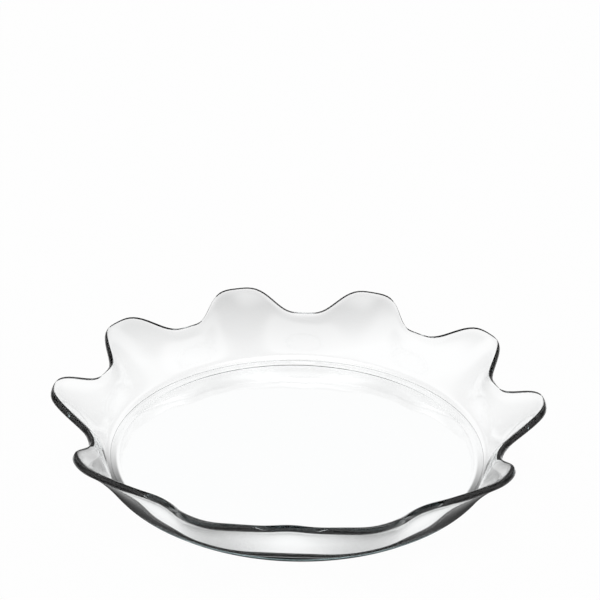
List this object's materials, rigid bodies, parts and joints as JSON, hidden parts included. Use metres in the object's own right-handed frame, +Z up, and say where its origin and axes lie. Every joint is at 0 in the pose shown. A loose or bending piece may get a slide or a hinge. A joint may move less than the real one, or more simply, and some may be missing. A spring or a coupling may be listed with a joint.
{
  "type": "scalloped dessert plate",
  "caption": "Round clear glass dessert plate with a flat floor, a flared fluted wall and a scalloped rim, for serving cake, fruit or sweets.",
  "frame": {"origin": "middle of the foot ring's underside, on the table", "axes": "+Z up out of the plate, +X through the tip of a lobe, +Y to the side that is away from the viewer"},
  "size_m": [0.2, 0.192, 0.0284],
  "materials": {
    "clear_glass": "polished clear pressed glass"
  },
  "bodies": {
    "root": {"plate": "clear_glass"}
  },
  "joints": []
}
